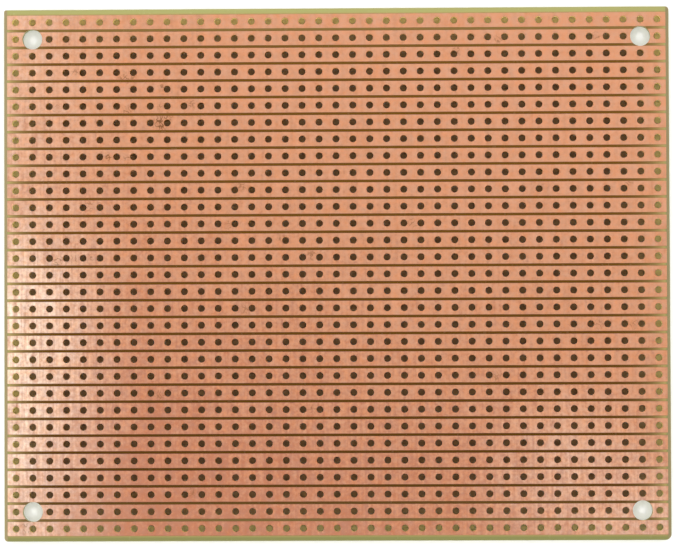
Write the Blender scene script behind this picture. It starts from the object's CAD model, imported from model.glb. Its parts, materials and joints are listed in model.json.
"""Finishes and fine shapes of a copper strip prototype board, on a plain studio stage.

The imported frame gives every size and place. Lengths are metres, apart from those in the
materials, which are millimetres. The board lies flat with its copper side up. Its strips run
along X, and the first strip is at the back.
"""

import json
import math
from functools import reduce

import bpy
import numpy as np
from bpy.props import FloatProperty, FloatVectorProperty, IntProperty, PointerProperty
from bpy.types import Operator, Panel, PropertyGroup
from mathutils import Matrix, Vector
from mathutils.geometry import delaunay_2d_cdt


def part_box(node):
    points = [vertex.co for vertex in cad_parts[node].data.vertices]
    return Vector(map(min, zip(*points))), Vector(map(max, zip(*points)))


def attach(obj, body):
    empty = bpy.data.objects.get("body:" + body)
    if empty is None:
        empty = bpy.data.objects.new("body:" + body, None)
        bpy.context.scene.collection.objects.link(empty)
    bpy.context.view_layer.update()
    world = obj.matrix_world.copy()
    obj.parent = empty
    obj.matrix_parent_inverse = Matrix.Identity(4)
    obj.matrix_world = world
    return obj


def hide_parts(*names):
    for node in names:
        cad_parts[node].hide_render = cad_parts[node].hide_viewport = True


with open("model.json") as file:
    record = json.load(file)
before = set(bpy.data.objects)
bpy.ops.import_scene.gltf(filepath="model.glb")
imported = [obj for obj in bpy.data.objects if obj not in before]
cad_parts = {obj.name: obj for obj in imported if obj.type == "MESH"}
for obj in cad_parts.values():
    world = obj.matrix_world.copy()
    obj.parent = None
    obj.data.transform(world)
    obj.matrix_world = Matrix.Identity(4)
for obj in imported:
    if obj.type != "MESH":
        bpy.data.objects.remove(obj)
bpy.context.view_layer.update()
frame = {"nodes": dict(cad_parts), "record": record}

bl_info = {
    "name": "Strip Prototype Board",
    "version": (1, 0, 0),
    "blender": (4, 5, 0),
    "location": "View3D > Sidebar > Board",
    "description": "Builds the surfaces, finishes and stage of a copper strip prototype board",
    "category": "Object",
}

MM = 0.001

# Sizes and places read from the frame

BOARD = "board_laminate"
STRIPS = sorted(name for name in frame["nodes"] if name.startswith("copper_strip_"))
END_PADS = sorted(name for name in frame["nodes"] if name.startswith("copper_end_pad_"))
MOUNTS = {mount["name"]: mount["dims"] for mount in frame["record"]["mounts"]}

BOARD_LOW, BOARD_HIGH = (np.array(corner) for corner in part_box(BOARD))
FIRST_LOW, FIRST_HIGH = (np.array(corner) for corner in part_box(STRIPS[0]))
SECOND_LOW, _ = (np.array(corner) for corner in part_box(STRIPS[1]))
PITCH = float(FIRST_LOW[1] - SECOND_LOW[1])
COLUMNS = round(float(FIRST_HIGH[0] - FIRST_LOW[0]) / PITCH)
ROWS = len(STRIPS)
STRIP_REACH = COLUMNS * PITCH / 2
STRIP_HALF_WIDTH = float(FIRST_HIGH[1] - FIRST_LOW[1]) / 2
FOIL_BASE, FOIL_TOP = float(FIRST_LOW[2]), float(FIRST_HIGH[2])
LEAD_RADIUS = MOUNTS["lead_hole"]["r_mm"] * MM
MOUNT_RADIUS = MOUNTS["mounting_holes"]["hole_r_mm"] * MM
MOUNT_SPACING = [MOUNTS["mounting_holes"][f"spacing_{axis}_mm"] for axis in "xy"]
MOUNT_REACH = np.array(MOUNT_SPACING) * MM / 2
MOUNT_CENTRES = np.array([[x, y] for x in (-1, 1) for y in (-1, 1)]) * MOUNT_REACH


def lead_places():
    """Centres of the lead holes: every whole pitch of the centred grid, less those that a
    mounting hole takes."""
    x = (np.arange(COLUMNS) - (COLUMNS - 1) / 2) * PITCH
    y = ((ROWS - 1) / 2 - np.arange(ROWS)) * PITCH
    places = np.stack(np.meshgrid(x, y), axis=-1).reshape(-1, 2)
    away = np.linalg.norm(places[:, None] - MOUNT_CENTRES[None], axis=2).min(axis=1)
    return places[away > MOUNT_RADIUS + LEAD_RADIUS]


LEAD_PLACES = lead_places()

# Sizes of the mesh and of the map that finishes are baked through

# Rounding of the copper's corners, seen from above, and the steps in any quarter circle
FOIL_CORNER = 0.06 * MM
CORNER_STEPS = 6
# Most degrees to a step where a mounting hole bites into copper
BITE_DEGREES = 8
# Longest steps of the board's edge and of a bitten strip's edge
BOARD_STEP = PITCH / 2
BITTEN_STEP = PITCH / 12
# How far into a hole, in radii, the map lays out the foot of its wall and its lower edge
WALL_FOOT, LOWER_EDGE = 0.75, 0.8
# Free border of a map, in edge breaks for the laminate and in foil thicknesses for the copper
LAMINATE_BORDER, FOIL_BORDER = 3, 3
# Pitches of strip in each row of its folded map
FOLD_PITCHES = 6
# The triangulation keeps to what lies within the edges, and joins points this near, in
# millimetres
WITHIN_EDGES, SAME_POINT = 1, 1e-6
# The name of the material that all the copper shares
COPPER = "Brushed Copper"


# Settings that a user would change


class BOARD_PG_shape(PropertyGroup):
    hole_steps: IntProperty(
        name="Hole Steps",
        description="Straight steps round a lead hole",
        default=24,
        min=12,
        max=32,
    )
    foil_round: FloatProperty(
        name="Foil Rounding",
        description="How far the brushed copper edges are rounded back",
        default=0.018 * MM,
        unit="LENGTH",
        precision=6,
    )
    edge_break: FloatProperty(
        name="Edge Break",
        description="Chamfer left where the laminate's sawn and drilled edges are broken",
        default=0.06 * MM,
        unit="LENGTH",
        precision=6,
    )


class BOARD_PG_copper(PropertyGroup):
    middle: FloatVectorProperty(
        name="Copper",
        description="Colour of the plain brushed copper",
        subtype="COLOR",
        default=(0.617, 0.292, 0.165),
    )
    light: FloatVectorProperty(
        name="Light Copper",
        description="Colour at the light end of its slow change",
        subtype="COLOR",
        default=(0.667, 0.320, 0.185),
    )
    dull: FloatVectorProperty(
        name="Dull Copper",
        description="Colour at the dull end of its slow change",
        subtype="COLOR",
        default=(0.520, 0.218, 0.129),
    )
    sheen: FloatVectorProperty(
        name="Sheen",
        description="Colour where it is rubbed bright",
        subtype="COLOR",
        default=(1.0, 0.77, 0.595),
    )
    tarnish: FloatVectorProperty(
        name="Tarnish",
        description="Colour of a tarnish spot and of the dark rim round a hole",
        subtype="COLOR",
        default=(0.21, 0.092, 0.038),
    )
    roughness: FloatProperty(
        name="Roughness",
        description="Roughness of the plain copper",
        default=0.5,
        min=0.0,
        max=1.0,
    )


class BOARD_PG_laminate(PropertyGroup):
    bare: FloatVectorProperty(
        name="Laminate",
        description="Colour of the bare laminate at the back",
        subtype="COLOR",
        default=(0.315, 0.305, 0.113),
    )
    bare_front: FloatVectorProperty(
        name="Front Laminate",
        description="Colour of the bare laminate at the front",
        subtype="COLOR",
        default=(0.188, 0.183, 0.064),
    )
    bare_side: FloatVectorProperty(
        name="Side Laminate",
        description="Colour of the bare laminate past the strips' ends",
        subtype="COLOR",
        default=(0.275, 0.222, 0.112),
    )
    gap: FloatVectorProperty(
        name="Gap",
        description="Colour between the strips at the back, where copper keeps the light out",
        subtype="COLOR",
        default=(0.124, 0.055, 0.009),
    )
    gap_front: FloatVectorProperty(
        name="Front Gap",
        description="Colour between the strips at the front",
        subtype="COLOR",
        default=(0.072, 0.029, 0.0045),
    )
    gap_lit: FloatVectorProperty(
        name="Lit Gap",
        description="Colour between the strips where light leaks in from the board's edge",
        subtype="COLOR",
        default=(0.35, 0.27, 0.10),
    )
    bore: FloatVectorProperty(
        name="Hole Wall",
        description="Colour of a lead hole's wall",
        subtype="COLOR",
        default=(0.48, 0.25, 0.02),
    )
    bore_lit: FloatVectorProperty(
        name="Lit Hole Wall",
        description="Colour of a lead hole's wall where light leaks in",
        subtype="COLOR",
        default=(0.93, 0.85, 0.42),
    )
    glow: FloatVectorProperty(
        name="Hole Glow",
        description="Light that comes through the laminate into the holes nearest the edge",
        subtype="COLOR",
        default=(0.19, 0.127, 0.045),
    )
    sawn: FloatVectorProperty(
        name="Sawn Edge",
        description="Colour of the sawn glass edge",
        subtype="COLOR",
        default=(0.50, 0.50, 0.27),
    )
    underside: FloatVectorProperty(
        name="Underside",
        description="Colour of the underside over the gaps",
        subtype="COLOR",
        default=(0.42, 0.39, 0.15),
    )
    underside_dark: FloatVectorProperty(
        name="Dark Underside",
        description="Colour of the underside where copper lies behind it",
        subtype="COLOR",
        default=(0.27, 0.225, 0.075),
    )


class BOARD_PG_studio(PropertyGroup):
    camera_place: FloatVectorProperty(
        name="Camera",
        description="Where the camera stands",
        subtype="TRANSLATION",
        default=(0.01612, -0.0180, 0.6),
    )
    camera_turn: FloatVectorProperty(
        name="Camera Turn",
        description="How the camera is turned from looking straight down",
        subtype="EULER",
        default=(math.radians(1.6884), math.radians(1.498), math.radians(-0.2044)),
    )
    lens: FloatProperty(
        name="Lens",
        description="Focal length",
        default=211.2,
        subtype="DISTANCE_CAMERA",
    )
    floor: FloatVectorProperty(
        name="Floor",
        description="Colour of the floor",
        subtype="COLOR",
        default=(0.96, 0.96, 0.965),
    )
    floor_reach: FloatProperty(
        name="Floor Reach",
        description="How far the floor goes from the middle to each side",
        default=3.0,
        unit="LENGTH",
    )
    low_light: FloatProperty(
        name="Low Light",
        description="Brightness of the light tent near the floor",
        default=0.55,
        min=0.0,
    )
    ring_light: FloatProperty(
        name="Ring Light",
        description="Brightness of the light tent's side",
        default=1.2,
        min=0.0,
    )
    crown_light: FloatProperty(
        name="Crown Light",
        description="Brightness of the light tent round its top",
        default=3.4,
        min=0.0,
    )
    top_light: FloatProperty(
        name="Top Light",
        description="Brightness of the light tent at its top",
        default=0.06,
        min=0.0,
    )
    lamp_light: FloatProperty(
        name="Lamp Light",
        description="Power of each soft lamp",
        default=0.5,
        min=0.0,
    )
    lamp_size: FloatProperty(
        name="Lamp Size",
        description="Width of each soft lamp",
        default=0.6,
        unit="LENGTH",
    )


# Shapes


def arc(centre, radius, start, turn, steps):
    """Points on a circle: the centre plus the radius times the cosine and the sine of angles, in
    degrees, that run in equal steps from start through turn."""
    angles = np.radians(start + turn * np.linspace(0, 1, steps + 1))
    return np.asarray(centre) + radius * np.column_stack([np.cos(angles), np.sin(angles)])


def holes(centres, radius, steps):
    """Clockwise circles as an array of loops: one circle, less its last point, shifted to each
    centre."""
    one = arc((0, 0), radius, 0, -360, steps)[:-1]
    return np.asarray(centres)[:, None] + one[None]


def spaced(loop, step):
    """A closed loop with each straight edge cut into equal parts no longer than step: each edge's
    start plus whole shares of the way to its end."""
    way = np.roll(loop, -1, axis=0) - loop
    parts = np.maximum(np.ceil(np.linalg.norm(way, axis=1) / step), 1).astype(int)
    edge = np.repeat(np.arange(len(loop)), parts)
    share = (np.arange(parts.sum()) - np.repeat(np.cumsum(parts) - parts, parts)) / parts[edge]
    return loop[edge] + way[edge] * share[:, None]


def outward(loops):
    """At each point of closed loops with the material on their left: the mitre of the two edges'
    right-hand normals, so that a step of s along it moves both edges out by s."""
    edge = np.roll(loops, -1, axis=-2) - loops
    normal = np.stack([edge[..., 1], -edge[..., 0]], axis=-1)
    normal /= np.linalg.norm(normal, axis=-1, keepdims=True)
    both = normal + np.roll(normal, 1, axis=-2)
    return 2 * both / (both**2).sum(axis=-1, keepdims=True)


def filled(loops, across=()):
    """Triangles, as rows of three point numbers, that fill a flat face between its outer loop,
    the first, and its holes. across lists extra edges that the triangles keep to."""
    points = np.concatenate(loops)
    starts = np.cumsum([0] + [len(loop) for loop in loops])
    edges = [
        np.column_stack([number, np.roll(number, -1)])
        for number in map(np.arange, starts[:-1], starts[1:])
    ]
    edges = np.concatenate(edges + [np.asarray(across, int).reshape(-1, 2)])
    corners = [Vector(point) for point in points / MM]
    filling = delaunay_2d_cdt(corners, edges.tolist(), [], WITHIN_EDGES, SAME_POINT)
    triangles = np.array(filling[2])
    owner = np.repeat(np.arange(len(loops)), [len(loop) for loop in loops])[triangles]
    in_hole = (owner[:, 0] > 0) & (owner == owner[:, :1]).all(axis=1)
    return triangles[~in_hole]


class Plate:
    """A drilled plate: flat faces between an outer loop and its holes, and a profile carried
    round each loop.

    A profile is rows of (inset, height, unrolled): how far the wall steps back into the
    material, its height, and how far from the loop that row lies on the flattened map that
    finishes are baked through."""

    def __init__(self, groups, across=()):
        """groups is a list of (loops, profile), the outer loop's first. Each has its loops as
        one array."""
        vertices, walls, flat = [], [], []
        top, base, total = [], [], 0
        for loops, profile in groups:
            many, steps = loops.shape[:2]
            rows = len(profile)
            away = outward(loops)
            inset, height, unrolled = (np.asarray(profile).T)[:, None, :, None, None]
            place = loops[:, None] - away[:, None] * inset
            height = np.broadcast_to(height, (many, rows, steps, 1))
            number = total + np.arange(many * rows * steps).reshape(many, rows, steps)
            above, below = number[:, :-1], number[:, 1:]
            sides = [above, below, np.roll(below, -1, -1), np.roll(above, -1, -1)]
            vertices.append(np.concatenate([place, height], axis=-1).reshape(-1, 3))
            flat.append((loops[:, None] + away[:, None] * unrolled).reshape(-1, 2))
            walls.append(np.stack(sides, axis=-1).reshape(-1, 4))
            top.append(number[:, 0].ravel())
            base.append(number[:, -1].ravel())
            total += number.size
        cap = filled([loop for loops, _ in groups for loop in loops], across)
        self.vertices = np.concatenate(vertices)
        self.flat = np.concatenate(flat)
        self.walls = np.concatenate(walls)
        self.top = np.concatenate(top)[cap]
        self.base = np.concatenate(base)[cap][:, ::-1]

    def mesh(self, name, lay_out):
        """The plate as a mesh. lay_out turns map points, whether they are on the base, and the
        middle of each one's face along X into places on the unit square."""
        mesh = bpy.data.meshes.new(name)
        faces = (self.walls, self.top, self.base)
        mesh.from_pydata(self.vertices, [], [face for kind in faces for face in kind.tolist()])
        corners = np.concatenate([kind.ravel() for kind in faces])
        counts = [len(kind) for kind in faces]
        sides = np.repeat([4, 3, 3], counts)
        face = np.repeat(np.arange(len(sides)), sides)
        on_base = np.repeat([False, False, True], counts)[face]
        places = np.where(on_base[:, None], self.vertices[corners, :2], self.flat[corners])
        middle = np.bincount(face, weights=places[:, 0]) / sides
        layer = mesh.uv_layers.new(name="OFBake")
        uv = lay_out(places, on_base, middle[face])
        layer.data.foreach_set("uv", uv.astype(np.float32).ravel())
        # Only the walls are smooth, and a flat face ends at a sharp edge.
        mesh.polygons.foreach_set("use_smooth", np.repeat([True, False, False], counts))
        on_rim = np.zeros(len(self.vertices), bool)
        on_rim[self.top] = True
        on_rim[self.base] = True
        edges = np.empty(2 * len(mesh.edges), np.int32)
        mesh.edges.foreach_get("vertices", edges)
        sharp = mesh.attributes.new("sharp_edge", "BOOLEAN", "EDGE")
        sharp.data.foreach_set("value", on_rim[edges.reshape(-1, 2)].all(axis=1))
        mesh.update()
        if mesh.validate():
            raise RuntimeError(f"The mesh of {name} isn't sound")
        return mesh


def show(mesh, material, slot, *nodes):
    """Puts a mesh into the scene as the piece that stands for these nodes."""
    piece = bpy.data.objects.new(mesh.name, mesh)
    bpy.context.collection.objects.link(piece)
    mesh.materials.append(material)
    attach(piece, "root")
    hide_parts(*nodes)


def rounded_rectangle(low, high, radii, along=()):
    """A closed loop, counter-clockwise from the right end: a quarter circle of each radius at
    its corner, and a point on both long sides at each place along X."""
    loop = []
    signs = ((1, 1), (-1, 1), (-1, -1), (1, -1))
    for radius, start, sign in zip(radii, (0, 90, 180, 270), signs, strict=True):
        corner = np.where(np.array(sign) > 0, high, low) - np.array(sign) * radius
        loop.append(arc(corner, radius, start, 90, CORNER_STEPS))
        if start == 0:
            loop.append(np.column_stack([along[::-1], np.full(len(along), high[1])]))
        if start == 180:
            loop.append(np.column_stack([along, np.full(len(along), low[1])]))
    return np.concatenate(loop)


def board_outline():
    """The board's edge: straight sides joined by quarter circles. Each corner's radius is the
    one that the frame's own corner has, from how near its mesh comes to the square corner."""
    mesh = frame["nodes"][BOARD].data
    points = np.empty(3 * len(mesh.vertices))
    mesh.vertices.foreach_get("co", points)
    points = points.reshape(-1, 3)[:, :2]
    low, high = BOARD_LOW[:2], BOARD_HIGH[:2]
    corners = (high, (low[0], high[1]), low, (high[0], low[1]))
    nearest = [np.linalg.norm(points - corner, axis=1).min() for corner in corners]
    radii = [distance / (math.sqrt(2) - 1) for distance in nearest]
    return spaced(rounded_rectangle(low, high, radii), BOARD_STEP)


def bitten(loop, centre):
    """A closed loop less a mounting hole. From where the loop enters the hole's circle to where
    it leaves, it follows the circle instead, clockwise. A crossing is the nearer root of the
    edge's distance from the centre."""
    inside = np.linalg.norm(loop - centre, axis=1) < MOUNT_RADIUS
    if not inside.any():
        return loop
    first = np.flatnonzero(~inside & np.roll(inside, 1))[0]
    loop, kept = np.roll(loop, -first, axis=0), int((~inside).sum())
    angles = []
    for out, within in ((loop[kept - 1], loop[kept]), (loop[0], loop[-1])):
        edge, away = within - out, out - centre
        half = away @ edge
        length = edge @ edge
        share = (-half - math.sqrt(half**2 - length * (away @ away - MOUNT_RADIUS**2))) / length
        x, y = away + share * edge
        angles.append(math.degrees(math.atan2(y, x)))
    turn = (angles[0] - angles[1]) % 360
    bite = arc(centre, MOUNT_RADIUS, angles[0], -turn, math.ceil(turn / BITE_DEGREES))
    return np.concatenate([loop[:kept], bite])


def foil_outline(low, high):
    """The edge of a strip or an end pad, whose frame box runs from low to high. An end that a
    mounting hole has cut runs on to the hole's centre, and the hole then bites it off. Also the
    numbers of the points that face each other across the strip at each whole pitch."""
    low, high = low[:2].copy(), high[:2].copy()
    for end in (low, high):
        near = MOUNT_CENTRES[np.abs(MOUNT_CENTRES[:, 0] - end[0]) < MOUNT_RADIUS]
        end[0] = near[0, 0] if len(near) else end[0]
    pitches = (np.arange(COLUMNS + 1) - COLUMNS / 2) * PITCH
    pitches = pitches[(pitches > low[0] + MOUNT_RADIUS) & (pitches < high[0] - MOUNT_RADIUS)]
    loop = rounded_rectangle(low, high, [FOIL_CORNER] * 4, pitches)
    away = np.linalg.norm(MOUNT_CENTRES - np.clip(MOUNT_CENTRES, low, high), axis=1)
    near = away < MOUNT_RADIUS
    if near.any():
        loop = spaced(loop, BITTEN_STEP)
    for centre in MOUNT_CENTRES[near]:
        loop = bitten(loop, centre)
    facing = [
        [np.linalg.norm(loop - (x, y), axis=1).argmin() for y in (low[1], high[1])]
        for x in pitches
    ]
    return loop, facing


# Materials

# Where a Mix node keeps its factor, its two colours and the colour that it gives
MIX_FACTOR, MIX_ONE, MIX_OTHER, MIX_RESULT = 0, 6, 7, 2


class Value:
    """A number that varies over a surface. Python's operators on it add the Math nodes that work
    it out."""

    def __init__(self, shader, socket):
        self.shader, self.socket = shader, socket

    def math(self, operation, *others, clamp=False):
        return self.shader.math(operation, self, *others, clamp=clamp)

    def __add__(self, other):
        return self.math("ADD", other)

    def __sub__(self, other):
        return self.math("SUBTRACT", other)

    def __rsub__(self, other):
        return self.shader.math("SUBTRACT", other, self)

    def __mul__(self, other):
        return self.math("MULTIPLY", other)

    __radd__ = __add__
    __rmul__ = __mul__

    def __neg__(self):
        return self.math("MULTIPLY", -1.0)

    def __abs__(self):
        return self.math("ABSOLUTE")

    def clamped(self):
        return self.math("ADD", 0.0, clamp=True)

    def least(self, other):
        return self.math("MINIMUM", other)

    def most(self, other):
        return self.math("MAXIMUM", other)

    def rise(self, low, high, start=0.0, end=1.0):
        """start below low and end above high, with a smooth step between. With high under low it
        runs the other way: start above low and end below high."""
        if high < low:
            return self.rise(high, low, end, start)
        settings = {"interpolation_type": "SMOOTHSTEP"}
        limits = {"From Min": low, "From Max": high, "To Min": start, "To Max": end}
        node = self.shader.add("ShaderNodeMapRange", settings, {"Value": self, **limits})
        return Value(self.shader, node.outputs["Result"])


class Shader:
    """The nodes of a material or a world under construction. add is the one way to make a node."""

    def __init__(self, owner, coordinates="Object", unit=MM):
        """Places come from this output of Texture Coordinate, in this unit."""
        owner.use_nodes = True
        self.owner, self.tree = owner, owner.node_tree
        self.tree.nodes.clear()
        place = self.add("ShaderNodeTexCoord").outputs[coordinates]
        self.place = self.vector("SCALE", place, Scale=1 / unit)
        split = self.add("ShaderNodeSeparateXYZ", {}, (self.place,))
        self.x, self.y, self.z = (Value(self, split.outputs[axis]) for axis in "XYZ")

    def add(self, kind, settings=None, sockets=()):
        """Makes a node: its settings first, then its sockets' values or links, by name or by
        order."""
        node = self.tree.nodes.new(kind)
        for name, value in (settings or {}).items():
            setattr(node, name, value)
        for name, value in sockets.items() if isinstance(sockets, dict) else enumerate(sockets):
            value = value.socket if isinstance(value, Value) else value
            if isinstance(value, bpy.types.NodeSocket):
                self.tree.links.new(value, node.inputs[name])
            else:
                node.inputs[name].default_value = value
        return node

    def math(self, operation, *terms, clamp=False):
        """Numbers and values put through one Math node."""
        settings = {"operation": operation, "use_clamp": clamp}
        return Value(self, self.add("ShaderNodeMath", settings, terms).outputs[0])

    def vector(self, operation, *vectors, **named):
        """Vectors put through one Vector Math node, with any socket of its own given by name."""
        sockets = {**dict(enumerate(vectors)), **named}
        return self.add("ShaderNodeVectorMath", {"operation": operation}, sockets).outputs[0]

    def at(self, x, y, z=0.0):
        """A point from three numbers or values."""
        return self.add("ShaderNodeCombineXYZ", {}, (x, y, z)).outputs[0]

    def flat_place(self):
        """The place on the board as seen from above."""
        return self.at(self.x, self.y)

    def stretched(self, along_x, along_y, along_z=0.0):
        """The place with each coordinate multiplied by a number."""
        return self.vector("MULTIPLY", self.place, (along_x, along_y, along_z))

    def noise(self, where, scale, detail, roughness=0.5):
        """Smooth noise about zero, with scale features to a unit of where."""
        sockets = {"Vector": where, "Scale": scale, "Detail": detail, "Roughness": roughness}
        return Value(self, self.add("ShaderNodeTexNoise", {}, sockets).outputs["Fac"]) - 0.5

    def wandering(self, scale, detail):
        """The place on the board, shifted by a vector that wanders smoothly about zero."""
        sockets = {"Vector": self.flat_place(), "Scale": scale, "Detail": detail}
        shift = self.add("ShaderNodeTexNoise", {}, sockets).outputs["Color"]
        shift = self.vector("SUBTRACT", shift, (0.5, 0.5, 0.5))
        return self.vector("ADD", self.flat_place(), shift)

    def mix(self, share, one, other):
        """A colour between two: one at a share of 0, other at 1."""
        one, other = (
            colour if isinstance(colour, bpy.types.NodeSocket) else (*colour, 1.0)
            for colour in (one, other)
        )
        sockets = {MIX_FACTOR: share, MIX_ONE: one, MIX_OTHER: other}
        return self.add("ShaderNodeMix", {"data_type": "RGBA"}, sockets).outputs[MIX_RESULT]

    def bump(self, height, relief):
        """A normal bent by a height, of which one unit stands for relief metres."""
        sockets = {"Height": height, "Distance": relief}
        return self.add("ShaderNodeBump", {}, sockets).outputs["Normal"]

    def finish(self, **sockets):
        """Puts a Principled surface with these sockets on the material, and gives the material."""
        sockets = {name.replace("_", " "): value for name, value in sockets.items()}
        surface = self.add("ShaderNodeBsdfPrincipled", {}, sockets)
        self.add("ShaderNodeOutputMaterial", {}, {"Surface": surface.outputs[0]})
        return self.owner


def off_grid(value, count):
    """Millimetres from the nearest of count lines that stand one pitch apart about the middle."""
    pitch = PITCH / MM
    return (value + pitch / 2 * (count % 2)).math("FLOORED_MODULO", pitch) - pitch / 2


def hole_distance(shader):
    """Millimetres from the nearest place of the hole grid."""
    across, along = off_grid(shader.x, COLUMNS), off_grid(shader.y, ROWS)
    return (across * across + along * along).math("SQRT")


def edge_distance(shader):
    """Millimetres in from the board's nearest side."""
    reach = BOARD_HIGH / MM
    return (reach[0] - abs(shader.x)).least(reach[1] - abs(shader.y))


def near(shader, where, x, y, radius, core, strength):
    """strength within core millimetres of a place, falling to 0 at radius."""
    away = shader.vector("SUBTRACT", where, (x, y, 0))
    length = shader.add("ShaderNodeVectorMath", {"operation": "LENGTH"}, (away,)).outputs["Value"]
    return Value(shader, length).rise(radius, core, 0.0, strength)


# The copper's finish. Lengths are millimetres, places are x and y from the board's middle, a
# noise is its features to a millimetre, its detail and its roughness, and a pair is where a
# smooth step starts and ends.

# The band that is rubbed bright: its strength, the X where it fades in, and the share of it that
# is left at the back and at the front, with the Y where each gives way to the whole
BAND, BAND_X = 0.78, (-28.0, -53.0)
BAND_BACK, BAND_BACK_Y = 0.30, (14.0, -8.0)
BAND_FRONT, BAND_FRONT_Y = 0.65, (-45.0, -8.0)
# Patches that are rubbed bright: x, y, radius and strength
PATCHES = ((36.0, -31.0, 20.0, 0.22), (50.0, -41.0, 16.0, 0.25))
# Brush marks are narrow along X and long along Y.
BRUSH_STRETCH, BRUSH_NOISE = (2.4, 0.12), (1.0, 3.0, 0.6)
GRAIN_NOISE, CLOUD_NOISE, MOTTLE_NOISE = (2.0, 3.0, 0.65), (0.16, 2.0), (0.9, 3.0, 0.7)
# How much lighter the copper gets to a millimetre, to the right and to the back
LIGHTER_RIGHT, LIGHTER_BACK = 0.008, 0.022
# How strongly the brush marks show, how much more where the copper is rubbed, and then the
# grain and the clouds
BRUSH_TONE, BRUSH_TONE_RUBBED, GRAIN_TONE, CLOUD_TONE = 2.0, 2.4, 3.2, 0.7
# How strongly all of them break up the sheen
SHEEN_TEXTURE = 0.6
# How far the mottle shifts red, green and blue
MOTTLE_HUE = (0.15, -0.30, -0.85)
# A spot's reach and its solid core, in radii, and the noise that bends its outline
SPOT_REACH, SPOT_CORE, SPOT_NOISE = 2.3, 0.5, (1.7, 2.0)
# Spots are drawn as traces along a noise's zero line, this wide, with strengths off and on it
TRACE_NOISE, TRACE_WIDTH, TRACE_OFF, TRACE_ON = (1.3, 1.0), 0.065, 0.4, 1.5
# Width and strength of the dark rim round a hole and along a strip's sides
HOLE_RIM, HOLE_RIM_TONE = 0.12, 0.35
SIDE_RIM, SIDE_RIM_TONE = 0.06, 0.6
# How much texture and spots roughen it, and how far the texture stands out
TEXTURE_ROUGHNESS, SPOT_ROUGHNESS = 0.12, 0.15
GRAIN_HEIGHT, COPPER_RELIEF = 0.4, 0.015 * MM

# Tarnish spots: x, y, radius and strength
TARNISH = (
    (-31.8, 29.6, 0.55, 0.55),
    (-30.6, 29.9, 0.40, 0.40),
    (-26.4, 22.9, 0.85, 0.75),
    (-25.2, 23.8, 0.50, 0.45),
    (-34.2, 17.7, 0.45, 0.60),
    (-31.3, 17.6, 0.40, 0.50),
    (-31.4, 24.9, 0.45, 0.55),
    (-26.2, 28.2, 0.35, 0.50),
    (-26.3, 25.2, 0.35, 0.45),
    (-42.1, 25.2, 0.45, 0.40),
    (-39.3, 30.6, 0.40, 0.40),
    (-21.8, 25.7, 0.45, 0.45),
    (-14.2, 13.3, 0.55, 0.45),
    (-37.1, 10.4, 0.50, 0.40),
    (-41.9, 2.2, 0.50, 0.50),
    (-39.3, 2.5, 0.45, 0.40),
    (-37.1, 2.5, 0.45, 0.40),
    (-16.0, 7.5, 0.50, 0.45),
    (11.5, 7.5, 0.50, 0.45),
    (-3.7, 2.9, 0.50, 0.45),
    (-8.3, 5.6, 0.45, 0.40),
    (-13.7, -5.3, 0.50, 0.45),
    (24.4, 35.2, 0.40, 0.50),
    (39.0, 35.6, 0.40, 0.50),
    (18.3, 33.6, 0.40, 0.45),
    (43.9, 13.5, 0.40, 0.40),
    (39.3, -7.7, 0.50, 0.40),
    (44.4, -7.7, 0.50, 0.40),
    (23.9, -15.4, 0.50, 0.40),
    (-21.7, -32.7, 0.50, 0.40),
    (-26.7, -18.1, 0.50, 0.40),
    (-3.7, -20.2, 0.50, 0.40),
    (-46.5, -38.0, 0.60, 0.50),
)


def rubbed(s):
    """How far the copper is rubbed bright: in a band down the left end, most in front of the
    middle, and in two patches at the front right."""
    band = s.x.rise(*BAND_X)
    band = band * s.y.rise(*BAND_BACK_Y, BAND_BACK) * s.y.rise(*BAND_FRONT_Y, BAND_FRONT)
    shine = band * BAND
    for x, y, radius, strength in PATCHES:
        shine = shine + near(s, s.flat_place(), x, y, radius, 0.0, strength)
    return shine


def tarnished(s):
    """How strong the tarnish is: the strongest of the spots, each faint with darker traces."""
    where = s.wandering(*SPOT_NOISE)
    spots = [
        near(s, where, x, y, radius * SPOT_REACH, radius * SPOT_CORE, strength)
        for x, y, radius, strength in TARNISH
    ]
    trace = abs(s.noise(s.flat_place(), *TRACE_NOISE))
    return reduce(Value.most, spots) * trace.rise(TRACE_WIDTH, 0.0, TRACE_OFF, TRACE_ON)


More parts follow.
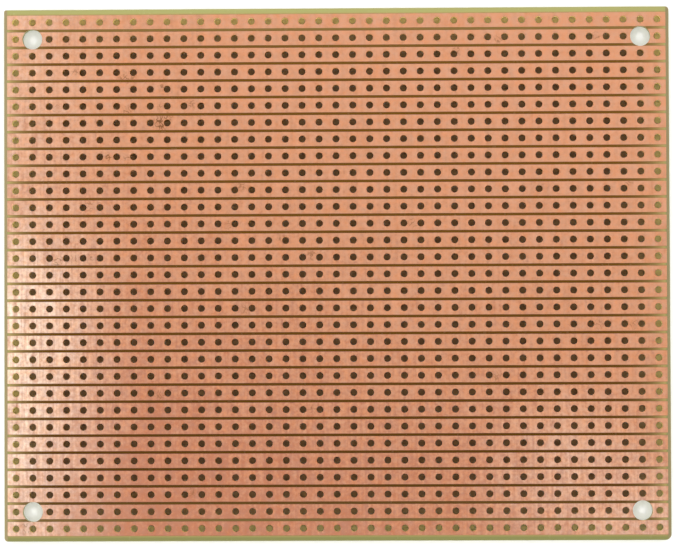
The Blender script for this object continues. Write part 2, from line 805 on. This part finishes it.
def copper_material():
    """Bare copper foil, brushed across the strips, rubbed bright in places and spotted with
    tarnish."""
    look = bpy.context.scene.board_copper
    s = Shader(bpy.data.materials.new(COPPER))
    shine = rubbed(s)
    streaks = s.noise(s.stretched(*BRUSH_STRETCH), *BRUSH_NOISE)
    grain = s.noise(s.place, *GRAIN_NOISE)
    cloud = s.noise(s.place, *CLOUD_NOISE)
    mottle = s.noise(s.place, *MOTTLE_NOISE)
    texture = streaks * (shine * BRUSH_TONE_RUBBED + BRUSH_TONE)
    texture = texture + grain * GRAIN_TONE + cloud * CLOUD_TONE
    tone = s.y * LIGHTER_BACK + s.x * LIGHTER_RIGHT + texture
    colour = s.mix(tone.clamped(), look.middle, look.light)
    colour = s.mix((-tone).clamped(), colour, look.dull)
    colour = s.mix((shine * (texture * SHEEN_TEXTURE + 1)).clamped(), colour, look.sheen)
    hue = s.at(*(mottle * shift + 1 for shift in MOTTLE_HUE))
    colour = s.vector("MULTIPLY", colour, hue)
    spots = tarnished(s)
    bore, side = LEAD_RADIUS / MM, STRIP_HALF_WIDTH / MM
    rim = hole_distance(s).rise(bore + HOLE_RIM, bore, 0.0, HOLE_RIM_TONE)
    rim = rim.most(abs(off_grid(s.y, ROWS)).rise(side - SIDE_RIM, side, 0.0, SIDE_RIM_TONE))
    colour = s.mix(rim.most(spots).clamped(), colour, look.tarnish)
    roughness = (grain + streaks) * TEXTURE_ROUGHNESS + spots * SPOT_ROUGHNESS + look.roughness
    return s.finish(
        Base_Color=colour,
        Metallic=1.0,
        Roughness=roughness,
        Normal=s.bump(streaks + grain * GRAIN_HEIGHT, COPPER_RELIEF),
    )


def shared_copper():
    """The one copper material that every strip and pad has."""
    return bpy.data.materials.get(COPPER) or copper_material()


# The laminate's finish, in the same units and forms

# How fast light that leaks in from the edge dies away to a millimetre, and how much leaks in at a
# mounting hole, and how far
LEAK_FALL, MOUNT_LEAK, MOUNT_LEAK_REACH = 0.55, 0.12, 2.5
# How strongly the leak lights the gaps and the holes' walls
GAP_LEAK, BORE_LEAK = 1.35, 2.2
# Bare laminate darkens to the front, on a slant
BARE_Y, BARE_SLANT = (-40.0, 40.0), 0.3
# Past the strips' ends it has its own colour, which fades to this share of itself at the right,
# and starts between these distances beyond the ends
SIDE_X, SIDE_RIGHT = (-40.0, 40.0), 0.8
SIDE_FROM, SIDE_TO = -0.1, 0.05
# The gaps darken to the front, and begin this far in from the edge
GAP_Y, GAP_INWARD = (-42.0, 34.0), (0.42, 0.95)
# The weave of the glass cloth is two noises, each stretched along its own threads.
WEAVE_THREADS, WEAVE_NOISE = ((1.4, 0.3), (0.3, 1.4)), (1.0, 2.0)
# From below, copper shows as far as this from a strip's middle and from this far in, apart from
# a ring round each hole, where this share of its shade is left
BEHIND_STRIP, BEHIND_INWARD = (1.25, 0.95), (0.3, 0.9)
RING_OUTER, RING_INNER, RING_SHADE = 0.35, 0.05, 0.4
WEAVE_SHADE = 0.5
# Heights between which the underside's colour gives way to the copper side's
UNDERSIDE_Z = (0.1, 0.3)
# Layers of cloth in a sawn edge, and how strongly they show
LAYER_STRETCH, LAYER_NOISE, LAYER_TONE = (0.25, 0.25, 7.0), (1.0, 3.0), 1.6
# A wall lies between the faces, and starts this far in from each
WALL_INSIDE = (0.02, 0.05)
# Within this of a lead hole's radius, a wall is that hole's
BORE_REACH = (0.12, 0.08)
# The glow of the holes' walls: its share at the front, and how much more there is from the
# middle on and again at the back
GLOW_SHARE = 0.15
GLOW_MIDDLE, GLOW_MIDDLE_Y = 0.35, (-42.0, -20.0)
GLOW_BACK, GLOW_BACK_Y = 0.5, (30.0, 38.0)
# Roughness of the faces, and how much the weave and the walls add
FACE_ROUGHNESS, WEAVE_ROUGHNESS, WALL_ROUGHNESS = 0.25, 0.1, 0.35
LAMINATE_RELIEF = 0.02 * MM


def leaked_light(s, inward):
    """How much light leaks in: e to the power of minus LEAK_FALL times the distance in from the
    edge, or what a mounting hole lets in where that is more."""
    leak = (inward * -LEAK_FALL).math("EXPONENT")
    quarter = s.vector("ABSOLUTE", s.flat_place())
    radius = MOUNT_RADIUS / MM
    reach = radius + MOUNT_LEAK_REACH
    return leak.most(near(s, quarter, *(MOUNT_REACH / MM), reach, radius, MOUNT_LEAK))


def laminate_material():
    """Translucent glass-epoxy: yellow-green where light gets in, brown between the strips and in
    the holes, which glow a little near the edge."""
    look = bpy.context.scene.board_laminate
    s = Shader(bpy.data.materials.new("Glass-Epoxy Laminate"))
    inward = edge_distance(s)
    leak = leaked_light(s, inward)

    # Copper side
    bare = s.mix((s.y - s.x * BARE_SLANT).rise(*BARE_Y), look.bare_front, look.bare)
    right = [part * SIDE_RIGHT for part in look.bare_side]
    side = s.mix(s.x.rise(*SIDE_X), look.bare_side, right)
    ends = STRIP_REACH / MM
    bare = s.mix(abs(s.x).rise(ends + SIDE_FROM, ends + SIDE_TO), bare, side)
    gap = s.mix(s.y.rise(*GAP_Y), look.gap_front, look.gap)
    gap = s.mix((leak * GAP_LEAK).clamped(), gap, look.gap_lit)
    upper = s.mix(inward.rise(*GAP_INWARD), bare, gap)

    # Underside: copper shows darker through it, and each hole has a pale ring
    one, other = (s.noise(s.stretched(*threads), *WEAVE_NOISE) for threads in WEAVE_THREADS)
    weave = one + other
    away, bore = hole_distance(s), LEAD_RADIUS / MM
    behind = abs(off_grid(s.y, ROWS)).rise(*BEHIND_STRIP) * inward.rise(*BEHIND_INWARD)
    ring = away.rise(bore + RING_OUTER, bore + RING_INNER, 1.0, RING_SHADE)
    shade = (behind * ring + weave * WEAVE_SHADE).clamped()
    lower = s.mix(shade, look.underside, look.underside_dark)
    colour = s.mix(s.z.rise(*UNDERSIDE_Z), lower, upper)

    # Sawn edges, with their layers of glass cloth, and the walls of the holes
    layers = s.noise(s.stretched(*LAYER_STRETCH), *LAYER_NOISE)
    top = FOIL_BASE / MM
    wall = s.z.rise(*(top - inside for inside in WALL_INSIDE)) * s.z.rise(*WALL_INSIDE)
    sawn = s.mix((layers * LAYER_TONE + 0.5).clamped(), look.sawn, look.bare)
    colour = s.mix(wall, colour, sawn)
    bored = s.mix((leak * BORE_LEAK).clamped(), look.bore, look.bore_lit)
    bores = wall * away.rise(*(bore + reach for reach in BORE_REACH))
    colour = s.mix(bores, colour, bored)
    share = s.y.rise(*GLOW_MIDDLE_Y, GLOW_SHARE, GLOW_SHARE + GLOW_MIDDLE)
    share = share + s.y.rise(*GLOW_BACK_Y, 0.0, GLOW_BACK)
    glow = s.mix(bores * leak * share, (0.0, 0.0, 0.0), look.glow)
    return s.finish(
        Base_Color=colour,
        Roughness=weave * WEAVE_ROUGHNESS + wall * WALL_ROUGHNESS + FACE_ROUGHNESS,
        Specular_IOR_Level=0.3,
        Emission_Color=glow,
        Emission_Strength=1.0,
        Normal=s.bump(weave + layers * wall, LAMINATE_RELIEF),
    )


# The stage

# Z of the direction where the tent's light passes from low to its side, to its crown and to its
# top
TENT_BANDS = ((0.25, 0.55), (0.62, 0.74), (0.84, 0.91))
LAMPS = {"left_softbox": (-0.65, 0.1, 0.75), "back_softbox": (0.2, 0.65, 0.75)}
# The floor's faint tooth, and how much darker it is
TOOTH_NOISE, TOOTH_TONE = (0.8, 2.0), 0.97


def light_tent():
    """The room's light: even all round, dimmer towards the floor, with a bright crown above that
    reaches into the mounting holes, and dark at the top, where the camera looks in."""
    look = bpy.context.scene.board_studio
    s = Shader(bpy.data.worlds.new("Light Tent"), "Generated", 1.0)
    levels = (look.low_light, look.ring_light, look.crown_light, look.top_light)
    strength = levels[0]
    for band, before, after in zip(TENT_BANDS, levels[:-1], levels[1:], strict=True):
        strength = s.z.rise(*band, 0.0, after - before) + strength
    light = s.add("ShaderNodeBackground", {}, {"Color": (1, 1, 1, 1), "Strength": strength})
    s.add("ShaderNodeOutputWorld", {}, {"Surface": light.outputs[0]})
    return s.owner


def floor_material():
    """Matt white card with a faint tooth."""
    look = bpy.context.scene.board_studio
    s = Shader(bpy.data.materials.new("Matt Card"))
    tooth = s.noise(s.place, *TOOTH_NOISE) + 0.5
    darker = [part * TOOTH_TONE for part in look.floor]
    return s.finish(Base_Color=s.mix(tooth, look.floor, darker), Roughness=0.9)


def build_lamp(context, name, place):
    """A square soft light at a place, which faces the middle of the board."""
    look = context.scene.board_studio
    light = bpy.data.lights.new(name, "AREA")
    light.shape, light.size, light.energy = "SQUARE", look.lamp_size, look.lamp_light
    lamp = bpy.data.objects.new(name, light)
    context.collection.objects.link(lamp)
    lamp.location = place
    lamp.rotation_euler = (-Vector(place)).to_track_quat("-Z", "Y").to_euler()


# Operators


class BOARD_OT_laminate(Operator):
    """Build the drilled glass-epoxy laminate"""

    bl_idname = "board.laminate"
    bl_label = "Laminate"

    def execute(self, context):
        shape = context.scene.board_shape
        top, low, cut = float(BOARD_HIGH[2]), float(BOARD_LOW[2]), shape.edge_break
        thick = top - low
        # The last number of a row lays the walls out beyond the edge and into the holes.
        edge = [(cut, top, 0), (0, top - cut, cut), (0, low + cut, thick), (cut, low, thick + cut)]
        mount, lead = (
            [(0, top, 0), (0, low + cut, WALL_FOOT * radius), (cut, low, LOWER_EDGE * radius)]
            for radius in (MOUNT_RADIUS, LEAD_RADIUS)
        )
        groups = [
            (board_outline()[None], edge),
            (holes(MOUNT_CENTRES, MOUNT_RADIUS, 2 * shape.hole_steps), mount),
            (holes(LEAD_PLACES, LEAD_RADIUS, shape.hole_steps), lead),
        ]
        margin = thick + LAMINATE_BORDER * cut
        size = BOARD_HIGH[:2] - BOARD_LOW[:2] + 2 * margin

        def lay_out(places, on_base, _):
            """The copper side fills the upper half of the map and the underside its lower
            half."""
            share = (places - BOARD_LOW[:2] + margin) / size
            return share * (1, 0.5) + np.where(on_base, 0, 0.5)[:, None] * (0, 1)

        show(Plate(groups).mesh("laminate", lay_out), laminate_material(), "laminate", BOARD)
        return {"FINISHED"}


def build_foil(context, node):
    """One copper piece: its outline and its lead holes, with the upper edges rounded back."""
    shape = context.scene.board_shape
    low, high = (np.array(corner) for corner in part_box(node))
    back = shape.foil_round
    # The middle of a quarter round lies this far in from both faces.
    half = back * (1 - math.sqrt(0.5))
    wall = FOIL_TOP - FOIL_BASE
    crest, foot = (back, FOIL_TOP, -back), (0, FOIL_TOP - back, back)
    edge = [crest, (half, FOIL_TOP - half, 0), foot, (0, FOIL_BASE, wall)]
    lead = [crest, foot, (0, FOIL_BASE, 2 * wall)]
    outline, facing = foil_outline(low, high)
    own = (np.abs(LEAD_PLACES - (low[:2] + high[:2]) / 2) < (high[:2] - low[:2]) / 2).all(axis=1)
    bores = holes(LEAD_PLACES[own], LEAD_RADIUS, shape.hole_steps)
    plate = Plate([(outline[None], edge), (bores, lead)], facing)
    margin = FOIL_BORDER * wall
    run = FOLD_PITCHES * PITCH
    folds = math.ceil(COLUMNS / FOLD_PITCHES)
    size = np.array([run, high[1] - low[1]]) + 2 * margin
    corner = np.array([-STRIP_REACH, low[1]]) - margin

    def lay_out(places, on_base, middle):
        """The strip is folded up into rows of a few pitches, so that the map isn't long and
        thin. The hidden base lies squeezed into one row of its own."""
        fold = np.floor((middle + STRIP_REACH) / run)
        none = np.zeros(len(fold))
        share = (places - corner - np.column_stack([fold * run, none])) / size
        squeezed = (places - corner) / (size + (STRIP_REACH * 2 - run, 0))
        share = np.where(on_base[:, None], squeezed, share)
        fold = np.where(on_base, folds, fold)
        return (share + np.column_stack([none, fold])) / (1, folds + 1)

    show(plate.mesh(node.removeprefix("copper_"), lay_out), shared_copper(), "copper", node)


def build_foils(context, nodes, kind):
    """The copper pieces of one kind."""
    if not nodes:
        raise RuntimeError(f"The frame has no {kind}")
    for node in nodes:
        build_foil(context, node)


class BOARD_OT_strips(Operator):
    """Build the copper strips"""

    bl_idname = "board.strips"
    bl_label = "Copper Strips"

    def execute(self, context):
        build_foils(context, STRIPS, "copper strips")
        return {"FINISHED"}


class BOARD_OT_end_pads(Operator):
    """Build the short copper pads outside the mounting holes"""

    bl_idname = "board.end_pads"
    bl_label = "End Pads"

    def execute(self, context):
        build_foils(context, END_PADS, "end pads")
        return {"FINISHED"}


class BOARD_OT_stage(Operator):
    """Build the floor, the lights and the camera"""

    bl_idname = "board.stage"
    bl_label = "Stage"

    def execute(self, context):
        look = context.scene.board_studio
        signs = ((-1, -1), (1, -1), (1, 1), (-1, 1))
        corners = [(x * look.floor_reach, y * look.floor_reach, 0.0) for x, y in signs]
        mesh = bpy.data.meshes.new("floor")
        mesh.from_pydata(corners, [], [(0, 1, 2, 3)])
        floor = bpy.data.objects.new("floor", mesh)
        context.collection.objects.link(floor)
        mesh.materials.append(floor_material())

        context.scene.world = light_tent()
        for name, place in LAMPS.items():
            build_lamp(context, name, place)

        camera = bpy.data.objects.new("Camera", bpy.data.cameras.new("Camera"))
        context.collection.objects.link(camera)
        camera.location = look.camera_place
        camera.rotation_euler = look.camera_turn
        camera.data.lens = look.lens
        context.scene.camera = camera
        context.scene.view_settings.view_transform = "Standard"
        return {"FINISHED"}


class BOARD_PT_build(Panel):
    """The board's settings and the steps that build it"""

    bl_idname = "BOARD_PT_build"
    bl_label = "Prototype Board"
    bl_space_type = "VIEW_3D"
    bl_region_type = "UI"
    bl_category = "Board"

    def draw(self, context):
        for name in SETTINGS:
            settings = getattr(context.scene, name)
            for field in settings.__annotations__:
                self.layout.prop(settings, field)
        for step in STEPS:
            self.layout.operator(step.bl_idname)


SETTINGS = {
    "board_shape": BOARD_PG_shape,
    "board_copper": BOARD_PG_copper,
    "board_laminate": BOARD_PG_laminate,
    "board_studio": BOARD_PG_studio,
}
STEPS = (BOARD_OT_laminate, BOARD_OT_strips, BOARD_OT_end_pads, BOARD_OT_stage)
CLASSES = (*SETTINGS.values(), *STEPS, BOARD_PT_build)


def register():
    for cls in CLASSES:
        bpy.utils.register_class(cls)
    for name, cls in SETTINGS.items():
        setattr(bpy.types.Scene, name, PointerProperty(type=cls))


def unregister():
    for name in SETTINGS:
        delattr(bpy.types.Scene, name)
    for cls in reversed(CLASSES):
        bpy.utils.unregister_class(cls)


def main():
    register()
    bpy.ops.board.laminate()
    bpy.ops.board.strips()
    bpy.ops.board.end_pads()
    bpy.ops.board.stage()


if __name__ == "__main__":
    main()
